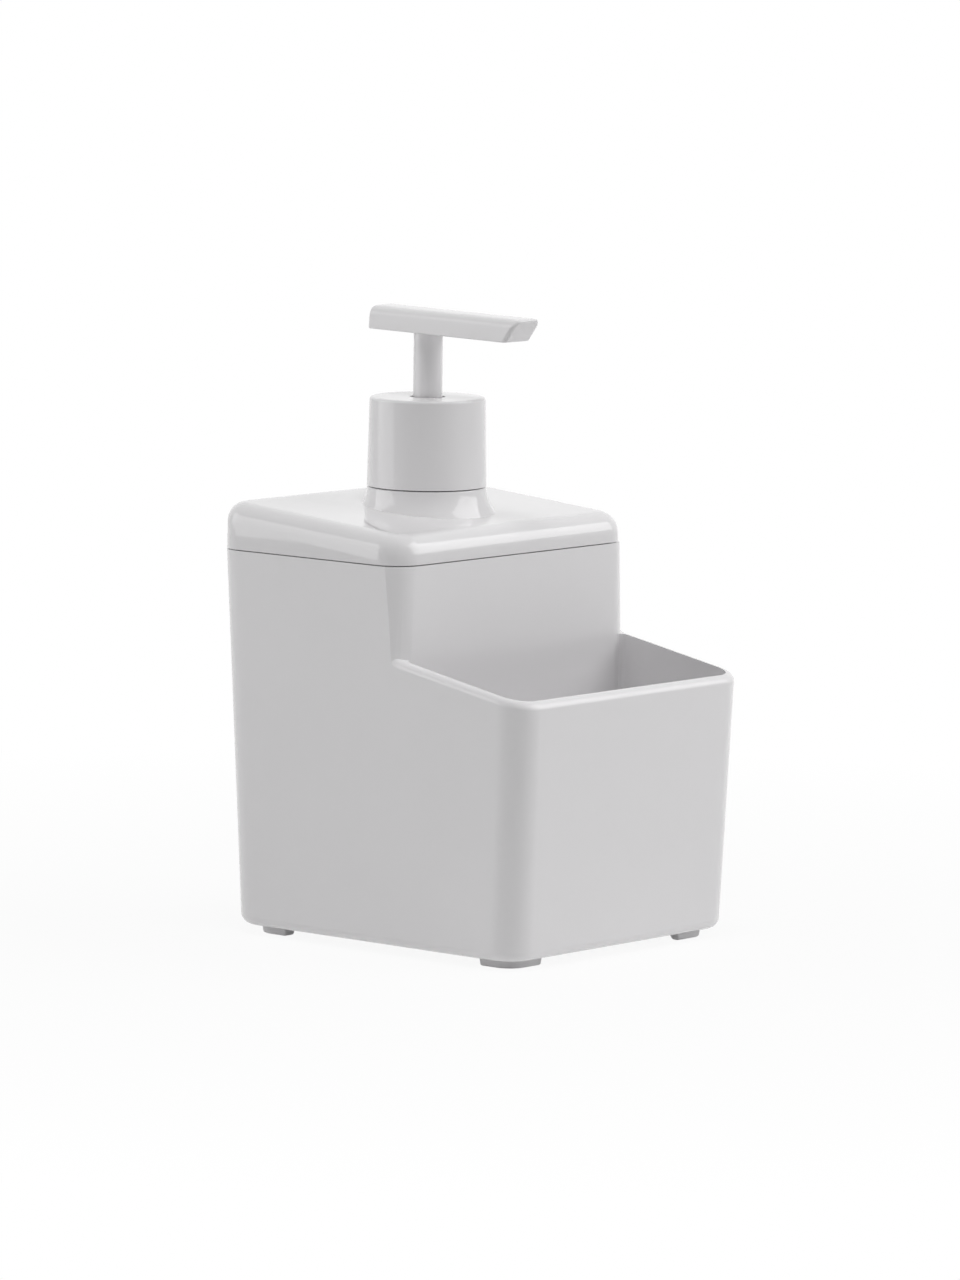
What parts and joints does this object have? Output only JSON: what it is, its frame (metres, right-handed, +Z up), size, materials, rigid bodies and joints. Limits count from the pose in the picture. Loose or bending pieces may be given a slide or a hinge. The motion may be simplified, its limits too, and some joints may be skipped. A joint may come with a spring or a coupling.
{
  "type": "dish soap dispenser with sponge tray",
  "caption": "Pump soap dispenser: a square tapered reservoir tower with a wedge lid and bar-shaped press head, and an open sponge tray moulded on its front",
  "frame": {"origin": "centre of the bounding box's bottom face, on the surface the feet stand on", "axes": "+Z up, -Y towards the sponge tray at the front, +X to the right seen from the front"},
  "size_m": [0.1016, 0.1146, 0.1785],
  "materials": {
    "body": "white moulded plastic, satin gloss",
    "lid": "white moulded plastic, high gloss",
    "closure": "white moulded plastic, smooth",
    "head": "white moulded plastic, smooth",
    "foot": "white moulded plastic, matte",
    "housing": "natural white plastic",
    "piston": "soft natural plastic",
    "tube": "milky plastic tube",
    "gasket": "soft grey seal",
    "steel": "bright steel"
  },
  "bodies": {
    "base": {"body_shell": "body", "foot_front_left": "foot", "foot_front_right": "foot", "foot_back_left": "foot", "foot_back_right": "foot"},
    "lid": {"lid": "lid"},
    "pump_body": {"neck_gasket": "gasket", "pump_housing": "housing", "guide_ring": "housing", "ball_retainer": "housing", "return_spring": "steel", "dip_tube": "tube"},
    "collar": {"threaded_cap": "closure", "collar_sleeve": "closure"},
    "plunger": {"piston": "piston", "poppet": "piston"},
    "head": {"stem": "head", "pump_head": "head"},
    "inlet_ball": {"inlet_ball": "steel"},
    "outlet_ball": {"outlet_ball": "steel"}
  },
  "joints": [
    {"name": "lid_lift", "type": "slide", "parent": "base", "child": "lid", "axis": [0, 0, 1], "range_m": [0, 0.12]},
    {"name": "pump_rise", "type": "slide", "parent": "lid", "child": "pump_body", "axis": [0, 0, 1], "range_m": [0, 0.0085]},
    {"name": "collar_turn", "type": "hinge", "parent": "pump_body", "child": "collar", "pos_m": [0, 0.02138, 0.14], "axis": [0, 0, 1], "range_deg": [0, 720]},
    {"name": "pump_stroke", "type": "slide", "parent": "pump_body", "child": "plunger", "axis": [0, 0, -1], "range_m": [0, 0.015], "stiffness_N_per_m": 350, "springref_m": -0.012, "deforming": ["return_spring"]},
    {"name": "head_swivel", "type": "hinge", "parent": "plunger", "child": "head", "pos_m": [0, 0.02138, 0.16], "axis": [0, 0, 1], "continuous": true},
    {"name": "inlet_ball_lift", "type": "slide", "parent": "pump_body", "child": "inlet_ball", "axis": [0, 0, 1], "range_m": [0, 0.002]},
    {"name": "outlet_ball_lift", "type": "slide", "parent": "head", "child": "outlet_ball", "axis": [0, 0, 1], "range_m": [0, 0.002]}
  ],
  "couplings": [
    {"joint": "pump_rise", "follows": "collar_turn", "m_per_rad": 0.0006737}
  ]
}
